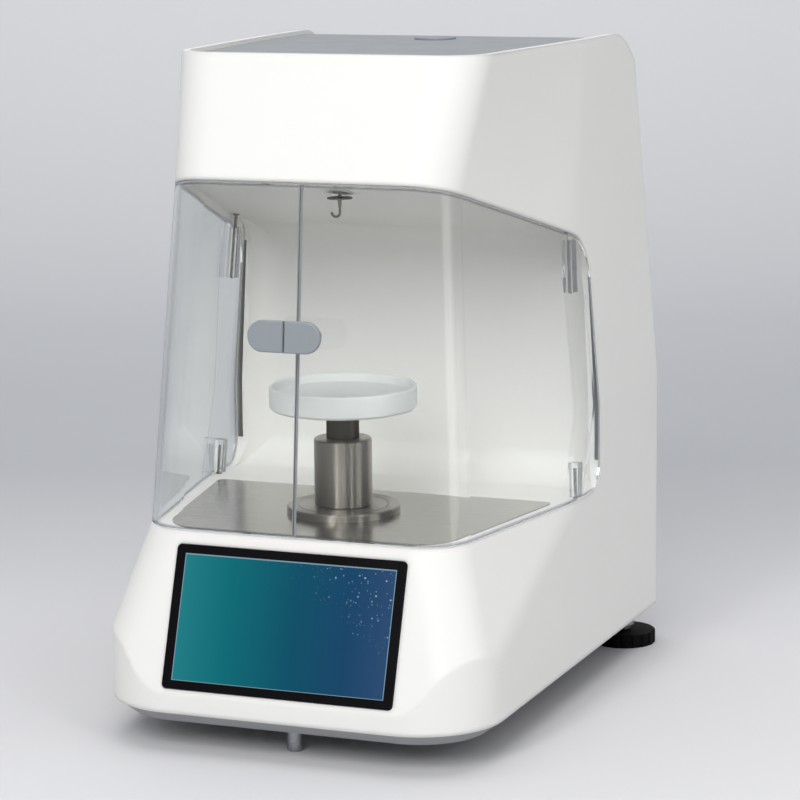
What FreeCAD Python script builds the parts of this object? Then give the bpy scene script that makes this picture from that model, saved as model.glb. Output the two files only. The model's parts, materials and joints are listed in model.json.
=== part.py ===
import FreeCAD, Part
import math
import operator
import os

import Sketcher

Vector = FreeCAD.Vector
Rotation = FreeCAD.Rotation
Placement = FreeCAD.Placement

# Surface tensiometer, millimetres.  +Z is up, -Y is the front, X = 0 is the plane of symmetry.
# The origin lies on the bench, below the middle of the instrument.

doc = FreeCAD.newDocument("surface_tensiometer")
sheet = doc.addObject("Spreadsheet::Sheet", "Sizes")

SIZES = {
    # overall form of the housing
    "depth": 409.0,
    "rim_level": 467.0,
    "skirt_level": 27.6,
    "cap_level": 475.0,
    "root_level": 15.0,
    "side_half": 144.05,
    "side_splay": 0.0188,
    "side_lean_level": 209.0,
    "side_lean": 0.08,
    "front_corner": 58.0,
    "rear_corner": 12.0,
    "rear_crown_radius": 56.0,
    "side_blend": 220.0,
    "side_blend_edge": 0.5,
    # sill: where the sloping front panel meets the draught doors
    "sill_level": 146.0,
    "sill_setback": 35.9,
    "panel_slope": 0.3408,
    "flare": 0.36,
    "form_corner": 34.0,
    # side plane of the doors
    "door_half": 154.7,
    "door_splay": 0.19,
    "door_lean": 0.0741,
    # brow: where the doors meet the head
    "brow_column_level": 364.301,
    "brow_slope": -0.29,
    "brow_setback": 58.3,
    # head
    "head_half": 119.2,
    "head_splay": 0.062,
    "head_setback": 95.8,
    # walls and seams
    "wall": 3.2,
    "seam": 0.3,
    "rim_width": 6.0,
    "flange_width": 12.0,
    "skin_recess": 3.0,
    "skin_thick": 2.5,
    "flange_depth": 9.0,
    "skin_split": 407.0,
    # work chamber
    "opening_setback": 147.5,
    "opening_low_radius": 20.0,
    "opening_high_radius": 40.0,
    "glazing": 4.0,
    "glazing_gap": 1.3,
    "liner_rear_depth": 13.0,
    "liner_thick": 3.0,
    "liner_cheek_gap": 1.6,
    "liner_cheek_inset": 6.6,
    "liner_cove": 24.0,
    "ceiling_rise": 6.0,
    "deck_rise": 0.1,
    # front panel and touch screen
    "screen_across": 154.2,
    "screen_tall": 86.6,
    "bezel_side": 6.4,
    "bezel_edge": 5.8,
    "bezel_corner": 3.0,
    "bezel_thick": 2.6,
    "bezel_proud": 1.1,
    "screen_level": 91.2,
    "screen_sink": 0.3,
    "display_thick": 7.0,
    "display_bracket_thick": 1.5,
    "display_bracket_lip": 10.0,
    "display_board_thick": 1.6,
    "display_board_across": 120.0,
    "display_board_tall": 60.0,
    "window_clear": 0.4,
    # lifting column
    "column_setback": 127.6,
    "plate_thick": 1.0,
    "plate_front_inset": 7.1,
    "plate_rear_inset": 62.5,
    "plate_front_side": 44.05,
    "plate_rear_side": 16.05,
    "plate_front_corner": 36.0,
    "plate_rear_corner": 5.0,
    "flange_radius": 39.6,
    "flange_thick": 5.0,
    "flange_groove_radius": 31.5,
    "flange_groove_width": 0.8,
    "sleeve_radius": 20.3,
    "sleeve_height": 47.0,
    "shaft_radius": 11.5,
    "shaft_bore": 5.5,
    "shaft_top_solid": 10.0,
    "running_fit": 0.05,
    "hole_clear": 1.5,
    "edge_break": 0.8,
    "dish_radius": 50.8,
    "dish_height": 16.1,
    "dish_rim": 2.6,
    "dish_recess": 6.0,
    "dish_level": 220.3,
    "dish_spigot_radius": 7.0,
    "dish_spigot_height": 4.0,
    # lifting drive in the base
    "pan_floor": 21.6,
    "drive_plate_across": 104.0,
    "drive_plate_deep": 60.0,
    "drive_plate_thick": 3.0,
    "drive_plate_corner": 6.0,
    "motor_side": 42.3,
    "motor_height": 34.0,
    "motor_corner": 4.0,
    "motor_shaft_radius": 2.5,
    "coupling_radius": 8.0,
    "coupling_gap": 1.0,
    "coupling_height": 15.0,
    "screw_radius": 4.0,
    "screw_top": 150.0,
    "screw_lead": 4.0,
    "nut_radius": 11.0,
    "nut_height": 9.0,
    "carriage_across": 84.0,
    "carriage_deep": 26.0,
    "carriage_thick": 6.0,
    "carriage_level": 100.0,
    "guide_radius": 4.0,
    "guide_offset": 34.0,
    # weighing head
    "shelf_level": 392.0,
    "shelf_thick": 3.0,
    "shelf_front_inset": 34.2,
    "shelf_rear_inset": 108.5,
    "sensor_across": 60.0,
    "sensor_deep": 88.0,
    "sensor_tall": 40.0,
    "sensor_gap": 14.0,
    "beam_across": 12.0,
    "beam_thick": 5.0,
    "yoke_drop": 8.0,
    "yoke_slot": 5.0,
    "yoke_pin": 1.2,
    "yoke_pin_drop": 4.5,
    "hanger_level": 367.0,
    "hanger_disc_radius": 8.8,
    "hanger_disc_thick": 1.0,
    "hanger_rod_radius": 1.2,
    "hook_wire_radius": 0.9,
    "hook_bend_radius": 3.0,
    "hook_bottom": 352.6,
    "ceiling_hole": 5.0,
    # hinges and handles of the doors
    "hinge_low_setback": 40.0,
    "hinge_low_level": 160.0,
    "hinge_low_inset": 7.0,
    "hinge_high_setback": 27.3,
    "hinge_high_level": 318.0,
    "hinge_high_inset": 7.6,
    "hinge_low_clear": 1.4,
    "hinge_high_clear": 4.0,
    "hinge_relief": 10.0,
    "hinge_pin": 1.2,
    "hinge_bush": 2.4,
    "hinge_low_tall": 24.5,
    "hinge_high_tall": 37.0,
    "hinge_block_wide": 8.4,
    "hinge_block_reach": 3.4,
    "hinge_block_cap": 4.0,
    "seam_half": 0.5,
    "handle_half": 26.0,
    "handle_tall": 21.4,
    "handle_thick": 3.6,
    "handle_level": 283.2,
    "handle_standoff": 21.0,
    "handle_post_radius": 5.0,
    "handle_post_x": 12.5,
    # base pan and feet
    "pan_bottom": 19.0,
    "pan_bevel": 11.0,
    "pan_edge": 0.8,
    "pan_wall": 2.6,
    "front_foot_inset": 34.0,
    "front_foot_radius": 5.5,
    "rear_foot_side": 16.55,
    "rear_foot_inset": 28.0,
    "rear_foot_radius": 24.0,
    "rear_foot_thick": 10.0,
    "knob_grooves": 18,
    "knob_groove_radius": 1.6,
    "stud_radius": 5.0,
    "stud_top": 44.0,
    "foot_nut_radius": 7.8,
    "foot_nut_thick": 5.0,
    # rear of the instrument
    "plug_radius": 15.5,
    "plug_inset": 93.5,
    "plug_thick": 1.6,
    "plug_boss_radius": 12.0,
    "plug_boss_depth": 6.0,
    "inlet_x": 88.0,
    "inlet_level": 78.0,
    "inlet_across": 27.0,
    "inlet_tall": 20.0,
    "inlet_deep": 28.0,
    "inlet_wall": 2.0,
    "inlet_cavity": 18.0,
    "blade_pitch": 7.0,
    "blade_offset": 1.5,
    "blade_wide": 2.0,
    "blade_tall": 4.0,
    "blade_long": 13.0,
    "switch_x": 50.0,
    "switch_across": 13.0,
    "switch_tall": 19.0,
    "switch_deep": 16.0,
    "switch_wall": 1.2,
    "switch_cavity": 12.0,
    "port_x": -70.0,
    "port_across": 12.0,
    "port_tall": 11.0,
    "port_deep": 14.0,
    "port_wall": 1.6,
    "port_cavity": 9.0,
    "panel_lip": 3.0,
    "panel_lip_thick": 1.6,
    "vent_across": 62.0,
    "vent_tall": 3.0,
    "vent_pitch": 8.0,
    "vent_level": 300.0,
    "vent_rows": 6,
    "supply_across": 78.0,
    "supply_deep": 120.0,
    "supply_tall": 34.0,
    "supply_x": -72.0,
    "supply_inset": 109.5,
    "board_across": 100.0,
    "board_deep": 130.0,
    "board_thick": 1.6,
    "board_x": 62.0,
    "board_inset": 114.5,
    "standoff_radius": 3.0,
    "standoff_height": 8.0,
    "standoff_inset": 6.0,
    "rocker_tilt": 7.0,
    "rocker_clear": 1.2,
    "rocker_rise": 1.4,
    "rocker_dip": 0.6,
    "rocker_root": 5.0,
    "rocker_axle": 1.2,
    "rocker_pivot": 2.0,
    "screw_head_radius": 2.8,
    "screw_head_thick": 1.8,
    "screw_shank_radius": 1.4,
    "screw_shank_long": 4.6,
}


class Size(float):
    """A length that also carries the spreadsheet formula it comes from."""

    def __new__(cls, number, formula=None):
        size = super().__new__(cls, number)
        size.formula = formula or repr(float(number))
        return size

    def join(self, other, sign, act, swapped=False):
        other = other if isinstance(other, Size) else Size(other)
        left, right = (other, self) if swapped else (self, other)
        number = act(float(left), float(right))
        return Size(number, "(%s %s %s)" % (left.formula, sign, right.formula))

    def __add__(self, other):
        return self.join(other, "+", operator.add)

    def __radd__(self, other):
        return self.join(other, "+", operator.add, True)

    def __sub__(self, other):
        return self.join(other, "-", operator.sub)

    def __rsub__(self, other):
        return self.join(other, "-", operator.sub, True)

    def __mul__(self, other):
        return self.join(other, "*", operator.mul)

    def __rmul__(self, other):
        return self.join(other, "*", operator.mul, True)

    def __truediv__(self, other):
        return self.join(other, "/", operator.truediv)

    def __rtruediv__(self, other):
        return self.join(other, "/", operator.truediv, True)

    def __neg__(self):
        return Size(-float(self), "(-%s)" % self.formula)


for row, (alias, number) in enumerate(SIZES.items(), start=1):
    sheet.set("A%d" % row, alias)
    sheet.set("B%d" % row, str(number))
    sheet.setAlias("B%d" % row, alias)
doc.recompute()


def cell(alias):
    """The value of one spreadsheet cell, tied to that cell."""
    return Size(sheet.get(alias), "Sizes." + alias)


NODES = []


def shaped(label, shape):
    """A sub-part whose form is computed here from the sheet's sizes."""
    piece = doc.addObject("Part::Feature", label)
    piece.Shape = shape
    NODES.append(piece)
    return piece


# ---------------------------------------------------------------- outer form

ROOT = cell("root_level")
FAR = cell("depth")
REAR = cell("depth") / 2
FRONT = -REAR
SILL_FRONT = FRONT + cell("sill_setback")
BROW_FRONT = FRONT + cell("brow_setback")
HEAD_FRONT = FRONT + cell("head_setback")
OPENING_REAR = REAR - cell("opening_setback")
LINER_REAR = OPENING_REAR + cell("liner_rear_depth")
COLUMN_Y = FRONT + cell("column_setback")
BROW = cell("brow_column_level") - cell("brow_slope") * COLUMN_Y


def plan_outline(front, rear, half, splay, corner, rear_corner=0.0):
    """Closed outline seen from above: straight front, rounded front corners, sides that splay
    towards the rear (half width = half + splay * y) and a straight rear edge."""
    run = math.hypot(1.0, splay)
    turn = math.atan2(1.0, splay)
    trim = corner * math.tan(turn / 2)
    tip = half + splay * front
    front_end = Vector(tip - trim, front, 0)
    side_start = Vector(tip + trim * splay / run, front + trim / run, 0)
    corner_mid = front_end + Vector(math.sin(turn / 2), 1 - math.cos(turn / 2), 0) * corner
    tail = half + splay * rear
    rear_turn = math.pi - turn
    rear_trim = rear_corner * math.tan(rear_turn / 2)
    side_end = Vector(tail - rear_trim * splay / run, rear - rear_trim / run, 0)
    rear_end = Vector(tail - rear_trim, rear, 0)
    rear_mid = rear_end + Vector(math.sin(rear_turn / 2), math.cos(rear_turn / 2) - 1, 0) * rear_corner

    def left(point):
        return Vector(-point.x, point.y, point.z)

    edges = [
        Part.LineSegment(left(front_end), front_end),
        Part.Arc(front_end, corner_mid, side_start),
        Part.LineSegment(side_start, side_end),
    ]
    if rear_corner > 0:
        edges.append(Part.Arc(side_end, rear_mid, rear_end))
    edges.append(Part.LineSegment(rear_end, left(rear_end)))
    if rear_corner > 0:
        edges.append(Part.Arc(left(rear_end), left(rear_mid), left(side_end)))
    edges.append(Part.LineSegment(left(side_end), left(side_start)))
    edges.append(Part.Arc(left(side_start), left(corner_mid), left(front_end)))
    return Part.Wire([edge.toShape() for edge in edges])


def raised(wire, level, slope=0.0):
    """The outline lifted onto the plane z = level + slope * y."""
    lift = FreeCAD.Matrix()
    lift.A32 = slope
    lift.A34 = level
    return wire.transformGeometry(lift)


def tapered_form(inset):
    """Flared base, door zone and head as one tapered solid, every face moved in by inset."""
    beyond = cell("depth")
    splay = cell("door_splay")
    sill = cell("sill_level")
    drop = sill - cell("root_level")
    corner = max(cell("form_corner") - inset, 2.0)
    sill_half = cell("door_half") - cell("door_lean") * sill
    brow_half = cell("door_half") - cell("door_lean") * BROW
    brow_splay = splay - cell("door_lean") * cell("brow_slope")
    sections = [
        raised(plan_outline(SILL_FRONT - cell("panel_slope") * drop + inset, beyond,
                            sill_half + cell("flare") * drop - inset, splay, corner),
               cell("root_level")),
        raised(plan_outline(SILL_FRONT + inset, beyond, sill_half - inset, splay, corner),
               sill),
        raised(plan_outline(BROW_FRONT + inset, beyond, brow_half - inset, brow_splay, corner),
               BROW, cell("brow_slope")),
        raised(plan_outline(HEAD_FRONT + inset, beyond, cell("head_half") - inset,
                            cell("head_splay"), corner),
               cell("cap_level")),
    ]
    return Part.makeLoft(sections, True, True)


def upright_form(inset, square_rear=False):
    """The footprint carried up: sides upright at first, then leaning inwards.  With square_rear
    the rear face stays where it is and has square corners."""
    half_depth = cell("depth") / 2
    lean = cell("side_lean") * (cell("cap_level") - cell("side_lean_level"))
    rear = half_depth if square_rear else half_depth - inset
    rear_corner = 0.0 if square_rear else max(cell("rear_corner") - inset, 1.0)

    def outline(half):
        return plan_outline(-half_depth + inset, rear, half - inset, cell("side_splay"),
                            max(cell("front_corner") - inset, 2.0), rear_corner)

    sections = [
        raised(outline(cell("side_half")), cell("root_level")),
        raised(outline(cell("side_half")), cell("side_lean_level")),
        raised(outline(cell("side_half") - lean), cell("cap_level")),
    ]
    return Part.makeLoft(sections, True, True)


def blend_outline(half, splay, rear_half, rear_splay, radius):
    """Outline seen from above whose sides turn from one line (half + splay * y) into a second one
    through a large arc.  Both straight parts stand off their lines by a small angle."""
    edge = math.radians(cell("side_blend_edge"))
    lean, rear_lean = math.atan(splay), math.atan(rear_splay)
    cross_y = (half - rear_half) / (rear_splay - splay)
    middle = (lean + rear_lean) / 2
    reach = radius / math.cos((lean - rear_lean) / 2) - radius * edge ** 2 / 2
    centre = Vector(half + splay * cross_y - reach * math.cos(middle),
                    cross_y + reach * math.sin(middle), 0)

    def on_arc(angle):
        return centre + Vector(math.cos(angle), -math.sin(angle), 0) * radius

    def along(angle, y):
        start = on_arc(angle)
        return start + Vector(math.tan(angle), 1, 0) * (y - start.y)

    starts, ends = lean - edge, rear_lean + edge
    side = [along(starts, -3 * FAR), on_arc(starts), on_arc(middle), on_arc(ends), along(ends, 3 * FAR)]
    other = [Vector(-point.x, point.y, 0) for point in side]
    edges = [
        Part.LineSegment(other[0], side[0]),
        Part.LineSegment(side[0], side[1]),
        Part.Arc(*side[1:4]),
        Part.LineSegment(side[3], side[4]),
        Part.LineSegment(side[4], other[4]),
        Part.LineSegment(other[4], other[3]),
        Part.Arc(*other[3:0:-1]),
        Part.LineSegment(other[1], other[0]),
    ]
    return Part.Wire([edge.toShape() for edge in edges])


def blend_form(inset):
    """Rounds the long crease where the tapered sides meet the upright ones."""
    splay, rear_splay = cell("door_splay"), cell("side_splay")
    sill, brow, slope = cell("sill_level"), BROW, cell("brow_slope")
    lean, rear_lean, bend = cell("door_lean"), cell("side_lean"), cell("side_lean_level")
    half, rear_half = cell("door_half") - inset, cell("side_half") - inset
    radius = cell("side_blend") - inset
    flared = half - lean * sill + cell("flare") * (sill - ROOT)
    sections = [
        raised(blend_outline(flared, splay, rear_half, rear_splay, radius), ROOT),
        raised(blend_outline(half - lean * sill, splay, rear_half, rear_splay, radius), sill),
        raised(blend_outline(half - lean * bend, splay, rear_half, rear_splay, radius), bend),
        raised(blend_outline(half - lean * brow, splay - lean * slope,
                             rear_half - rear_lean * (brow - bend),
                             rear_splay - rear_lean * slope, radius), brow, slope),
        raised(blend_outline(cell("head_half") - inset, cell("head_splay"),
                             rear_half - rear_lean * (cell("cap_level") - bend), rear_splay, radius),
               cell("cap_level")),
    ]
    return Part.makeLoft(sections, True, True)


def crowned_block(inset, bottom):
    """Side-view profile extruded across the width: flat top that rolls down into a flat rear."""
    half_depth = cell("depth") / 2
    rear = half_depth - inset
    top = cell("rim_level") - inset
    radius = cell("rear_crown_radius") - inset
    front = -FAR
    half_width = cell("depth")
    diagonal = math.sqrt(0.5)
    centre = Vector(0, rear - radius, top - radius)
    points = [Vector(0, front, bottom), Vector(0, rear, bottom), Vector(0, rear, top - radius),
              Vector(0, rear - radius, top), Vector(0, front, top)]
    edges = [
        Part.LineSegment(points[0], points[1]).toShape(),
        Part.LineSegment(points[1], points[2]).toShape(),
        Part.Arc(points[2], centre + Vector(0, diagonal, diagonal) * radius, points[3]).toShape(),
        Part.LineSegment(points[3], points[4]).toShape(),
        Part.LineSegment(points[4], points[0]).toShape(),
    ]
    face = Part.Face(Part.Wire(edges))
    face.translate(Vector(-half_width, 0, 0))
    return face.extrude(Vector(2 * half_width, 0, 0))


def housing_form(inset, skin_inset, bottom):
    """The whole outer form with its walls moved in by inset and its top and rear by skin_inset."""
    form = tapered_form(inset).common(upright_form(inset, skin_inset > 0))
    return form.common(blend_form(inset)).common(crowned_block(skin_inset, bottom))


# ---------------------------------------------------------------- housing, skins, doors

def box_between(low, high):
    """Axis-aligned block between two corners."""
    low, high = Vector(*low), Vector(*high)
    size = high - low
    return Part.makeBox(size.x, size.y, size.z, low)


def side_profile(points, radii):
    """Closed wire in the YZ plane through points (y, z), corners rounded by radii."""
    edges = []
    count = len(points)
    starts = []
    ends = []
    for index, (y, z) in enumerate(points):
        here = Vector(0, y, z)
        before = Vector(0, *points[index - 1])
        after = Vector(0, *points[(index + 1) % count])
        back = (before - here).normalize()
        ahead = (after - here).normalize()
        half_angle = back.getAngle(ahead) / 2
        reach = radii[index] / math.tan(half_angle)
        starts.append(here + back * reach)
        ends.append(here + ahead * reach)
        if radii[index] > 0:
            middle = (back + ahead).normalize()
            centre = here + middle * (radii[index] / math.sin(half_angle))
            edges.append(Part.Arc(starts[-1], centre - middle * radii[index], ends[-1]).toShape())
    for index in range(count):
        edges.append(Part.LineSegment(ends[index], starts[(index + 1) % count]).toShape())
    return Part.Wire(Part.sortEdges(edges)[0])


def across(profile, half_width):
    """A YZ profile extruded to both sides of the plane of symmetry."""
    face = Part.Face(profile)
    face.translate(Vector(-half_width, 0, 0))
    return face.extrude(Vector(2 * half_width, 0, 0))


def brow_at(y, rise=0.0):
    """Level of the brow line at depth y, raised by rise."""
    return BROW + cell("brow_slope") * y + rise


def opening_block(inset, floor, ceiling_rise, rear, low_radius, high_radius):
    """The side-view outline of the draught-door opening, carried right across the width."""
    front = -FAR
    points = [(front, floor + inset), (rear - inset, floor + inset),
              (rear - inset, brow_at(rear, ceiling_rise - inset)),
              (front, brow_at(front, ceiling_rise - inset))]
    return across(side_profile(points, [0.0, low_radius - inset, high_radius - inset, 0.0]),
                  cell("depth"))


def door_opening(inset):
    return opening_block(inset, cell("sill_level"), 0.0, OPENING_REAR,
                         cell("opening_low_radius"), cell("opening_high_radius"))


SKIRT = cell("skirt_level")
WALL = cell("wall")
FIT = cell("running_fit")
CLEAR = cell("hole_clear")
BREAK = cell("edge_break")
OUTER_FORM = housing_form(0.0, 0.0, SKIRT)
INNER_FORM = housing_form(WALL, cell("flange_depth"), ROOT)


def skin_block(inset, depth):
    """Everything inside the rim by inset and below the crown by depth."""
    block = tapered_form(inset).common(upright_form(inset, True))
    return block.common(blend_form(inset)).common(crowned_block(depth, ROOT))


BEZEL_ACROSS = cell("screen_across") + 2 * cell("bezel_side")
BEZEL_TALL = cell("screen_tall") + 2 * cell("bezel_edge")


def screen_frame(local):
    """Moves a shape drawn in the screen's own axes (x across, y up the slope, z outwards)
    onto the sloping front panel."""
    tilt = math.degrees(math.atan(1 / cell("panel_slope")))
    level = cell("screen_level")
    front = SILL_FRONT - cell("panel_slope") * (cell("sill_level") - level)
    moved = local.copy()
    moved.Placement = Placement(Vector(0, front, level), Rotation(Vector(1, 0, 0), tilt))
    return moved


def panel_block(width, height, low, high, corner=0.0):
    """Rounded rectangle centred on the screen, from depth low to height high above the panel."""
    block = Part.makeBox(width, height, high - low, Vector(-width / 2, -height / 2, low))
    if corner > 0:
        uprights = [edge for edge in block.Edges if abs(edge.tangentAt(0).z) > 0.99]
        block = block.makeFillet(corner, uprights)
    return screen_frame(block)


def cover_screw_places():
    """Centres of the rear cover's screws on its outer face, down both flanges."""
    rim = (cell("rim_width") + cell("flange_width")) / 2
    rear = REAR - cell("skin_recess")
    places = []
    for level in (cell("skirt_level") + 30, cell("side_lean_level"), cell("skin_split") - 25):
        lean = cell("side_lean") * max(level - cell("side_lean_level"), 0.0)
        half = cell("side_half") + cell("side_splay") * rear - lean - rim
        places += [Vector(-half, rear, level), Vector(half, rear, level)]
    return places


def cover_screw_rods(radius):
    """Shank-sized rods from outside the cover to behind its flange."""
    reach = cell("flange_depth")
    return [Part.makeCylinder(radius, 3 * reach, place_on + Vector(0, reach, 0), Vector(0, -1, 0))
            for place_on in cover_screw_places()]


def main_housing():
    shell = OUTER_FORM.cut(INNER_FORM)
    shell = shell.cut(door_opening(0.0))
    rim = cell("rim_width")
    flange = cell("flange_width")
    seat = cell("skin_recess") + cell("skin_thick") + cell("seam")
    recess = skin_block(rim, 0.0).cut(crowned_block(seat, ROOT))
    window = skin_block(flange, 0.0).cut(crowned_block(cell("flange_depth") + 1.0, ROOT))
    shell = shell.cut(recess).cut(window)
    clear = cell("window_clear")
    through = 4 * WALL
    pocket = panel_block(BEZEL_ACROSS + 2 * clear, BEZEL_TALL + 2 * clear,
                         cell("bezel_proud") - cell("bezel_thick"), through, cell("bezel_corner") + clear)
    hole = panel_block(cell("screen_across") + 4 * clear, cell("screen_tall") + 4 * clear,
                       -through, through)
    return shell.cut([pocket, hole] + cover_screw_rods(cell("screw_shank_radius") + FIT))


shaped("main_housing", main_housing())


def skin_pieces():
    """The top panel that rolls over the rear edge, and the flat rear cover below it."""
    gap = cell("rim_width") + cell("seam")
    skin = skin_block(gap, cell("skin_recess"))
    skin = skin.cut(crowned_block(cell("skin_recess") + cell("skin_thick"), ROOT))
    split = cell("skin_split")
    top = skin.common(box_between((-FAR, -FAR, split), (FAR, FAR, 2 * FAR)))
    rear = skin.common(box_between((-FAR, LINER_REAR, SKIRT + cell("seam")),
                                   (FAR, FAR, split - 2 * cell("seam"))))
    return top, rear


top_skin, rear_skin = skin_pieces()
PLUG_Y = REAR - cell("plug_inset")
plug_hole = Part.makeCylinder(cell("plug_boss_radius") + cell("seam"), 2 * cell("flange_depth"),
                              Vector(0, PLUG_Y, cell("rim_level") - cell("flange_depth")))
shaped("top_panel", top_skin.cut(plug_hole))


def service_cutouts():
    """Openings of the rear cover: air slots, mains inlet, switch and data port."""
    reach = cell("flange_depth")
    cuts = []
    for row in range(int(cell("vent_rows"))):
        level = cell("vent_level") - row * cell("vent_pitch")
        for side in (1, -1):
            cuts.append(Part.makeBox(cell("vent_across"), 2 * reach, cell("vent_tall"),
                                     Vector(side * cell("vent_across") * 0.6 - cell("vent_across") / 2,
                                            REAR - reach, level)))
    openings = (("inlet_x", "inlet_across", "inlet_tall"), ("switch_x", "switch_across", "switch_tall"),
                ("port_x", "port_across", "port_tall"))
    for centre, wide, tall in openings:
        cuts.append(Part.makeBox(cell(wide) + 2 * cell("seam"), 2 * reach, cell(tall) + 2 * cell("seam"),
                                 Vector(cell(centre) - cell(wide) / 2 - cell("seam"), REAR - reach,
                                        cell("inlet_level") - cell(tall) / 2 - cell("seam"))))
    return cuts


shaped("rear_cover", rear_skin.cut(service_cutouts() + cover_screw_rods(cell("screw_shank_radius") + FIT)))


# doors: the band of clear sheet that fills the opening, parted down the middle of the front

def side_point(y, level, inset):
    """A point inset behind the outer face of the right-hand door, near its rear edge."""
    upright = (cell("side_half") + cell("side_splay") * y
               - cell("side_lean") * max(level - cell("side_lean_level"), 0.0))
    tapered = cell("door_half") + cell("door_splay") * y - cell("door_lean") * level
    return Vector(min(upright, tapered) - inset, y, level)


DECK = cell("sill_level") + cell("deck_rise")
PIVOT = side_point(OPENING_REAR - cell("hinge_low_setback"), cell("hinge_low_level"),
                   cell("hinge_low_inset"))
UPPER = side_point(OPENING_REAR - cell("hinge_high_setback"), cell("hinge_high_level"),
                   cell("hinge_high_inset"))
AXIS = (UPPER - PIVOT).normalize()


def axis_at_level(level):
    """Distance along the hinge axis from its lower pivot to a level."""
    return (level - PIVOT.z) / AXIS.z


def axis_at_brow(rise):
    """Distance along the hinge axis from its lower pivot to the brow line raised by rise."""
    return (brow_at(PIVOT.y, rise) - PIVOT.z) / (AXIS.z - cell("brow_slope") * AXIS.y)


def axis_rod(radius, start, end):
    """Rod about the hinge axis between two distances along it."""
    return Part.makeCylinder(radius, end - start, PIVOT + AXIS * start, AXIS)


LOW_END = axis_at_level(DECK + cell("hinge_low_clear"))
HIGH_END = axis_at_brow(-cell("hinge_high_clear"))


def mirrored(shape):
    """The same shape on the other side of the plane of symmetry."""
    return shape.mirror(Vector(0, 0, 0), Vector(1, 0, 0))


def main_solid(shape):
    """The body of a piece without the slivers that a cut at its edge leaves."""
    return max(shape.Solids, key=lambda solid: solid.Volume)


def door():
    """Right-hand door: one sheet from the front seam round the corner to the rear of the opening,
    cut back round its pivots so that it swings clear of sill and brow."""
    band = OUTER_FORM.cut(housing_form(cell("glazing"), 0.0, ROOT))
    band = band.common(door_opening(cell("glazing_gap")))
    half = band.common(box_between((cell("seam_half"), -FAR, 0), (FAR, FAR, 2 * FAR)))
    relief = cell("hinge_relief")
    return main_solid(half.cut([axis_rod(relief, LOW_END - relief, LOW_END),
                                axis_rod(relief, HIGH_END, HIGH_END + relief)]))


DOOR = door()
shaped("door_right", DOOR)
shaped("door_left", mirrored(DOOR))


# ---------------------------------------------------------------- builders for the inner pieces

def place(piece, x=0.0, y=0.0, z=0.0):
    """Put a sub-part at a point whose coordinates stay tied to the sheet."""
    for axis, size in (("x", x), ("y", y), ("z", z)):
        size = size if isinstance(size, Size) else Size(size)
        setattr(piece.Placement.Base, axis, float(size))
        piece.setExpression("Placement.Base." + axis, size.formula)


def bind(piece, **sizes):
    """Tie properties to the sheet."""
    for prop, size in sizes.items():
        size = size if isinstance(size, Size) else Size(size)
        piece.setExpression(prop, size.formula)


def origin_plane(body, role):
    return next(item for item in body.Origin.OriginFeatures if item.Role == role)


def profile_sketch(body, role, points, name):
    """A closed polygon whose corner coordinates are constraints tied to the sheet."""
    sketch = body.newObject("Sketcher::SketchObject", name)
    sketch.AttachmentSupport = (origin_plane(body, role), [""])
    sketch.MapMode = "FlatFace"
    count = len(points)
    corners = [Vector(float(across_size), float(up_size), 0) for across_size, up_size in points]
    for index in range(count):
        sketch.addGeometry(Part.LineSegment(corners[index], corners[(index + 1) % count]), False)
    for index in range(count):
        sketch.addConstraint(Sketcher.Constraint("Coincident", index, 2, (index + 1) % count, 1))
    for index, pair in enumerate(points):
        for kind, size in zip(("DistanceX", "DistanceY"), pair):
            size = size if isinstance(size, Size) else Size(size)
            number = sketch.addConstraint(Sketcher.Constraint(kind, -1, 1, index, 1, float(size)))
            sketch.setExpression("Constraints[%d]" % number, size.formula)
    return sketch


def turned(label, points, x=0.0, y=0.0, z=0.0):
    """A lathe part: profile of (radius, height) points revolved about the upright axis."""
    body = doc.addObject("PartDesign::Body", label)
    sketch = profile_sketch(body, "XZ_Plane", points, label + "_profile")
    turn = body.newObject("PartDesign::Revolution", label + "_turn")
    turn.Profile = sketch
    turn.ReferenceAxis = (sketch, ["V_Axis"])
    turn.Angle = 360.0
    sketch.Visibility = False
    place(body, x, y, z)
    NODES.append(body)
    return body


def disc_points(radius, height, bore=0.0, chamfer=0.0):
    """Profile of a disc or tube with chamfered outer rims."""
    if chamfer:
        outer_edge = [(radius - chamfer, 0.0), (radius, chamfer), (radius, height - chamfer),
                      (radius - chamfer, height)]
    else:
        outer_edge = [(radius, 0.0), (radius, height)]
    return [(bore, 0.0)] + outer_edge + [(bore, height)]


def padded(label, points, thick):
    """A plate or block: a closed outline seen from above, padded upwards."""
    body = doc.addObject("PartDesign::Body", label)
    sketch = profile_sketch(body, "XY_Plane", points, label + "_outline")
    pad = body.newObject("PartDesign::Pad", label + "_pad")
    pad.Profile = sketch
    bind(pad, Length=thick)
    sketch.Visibility = False
    doc.recompute()
    NODES.append(body)
    return body


def rounded(body, radius, name, wanted=lambda point: True):
    """Round those upright edges of a padded body whose foot is wanted."""
    base = body.Tip
    names = ["Edge%d" % (number + 1) for number, edge in enumerate(base.Shape.Edges)
             if abs(edge.tangentAt(edge.FirstParameter).z) > 0.99 and wanted(edge.Vertexes[0].Point)]
    rounds = body.newObject("PartDesign::Fillet", body.Label + name)
    rounds.Base = (base, names)
    bind(rounds, Radius=radius)
    doc.recompute()


def sheet_block(label, width, deep, thick, corner=0.0, x=0.0, y=0.0, z=0.0):
    """A rectangular plate or block centred on x and y, standing on z, upright edges rounded."""
    points = [(-width / 2, -deep / 2), (width / 2, -deep / 2),
              (width / 2, deep / 2), (-width / 2, deep / 2)]
    body = padded(label, points, thick)
    if corner > 0:
        rounded(body, corner, "_corners")
    place(body, x, y, z)
    return body


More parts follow.
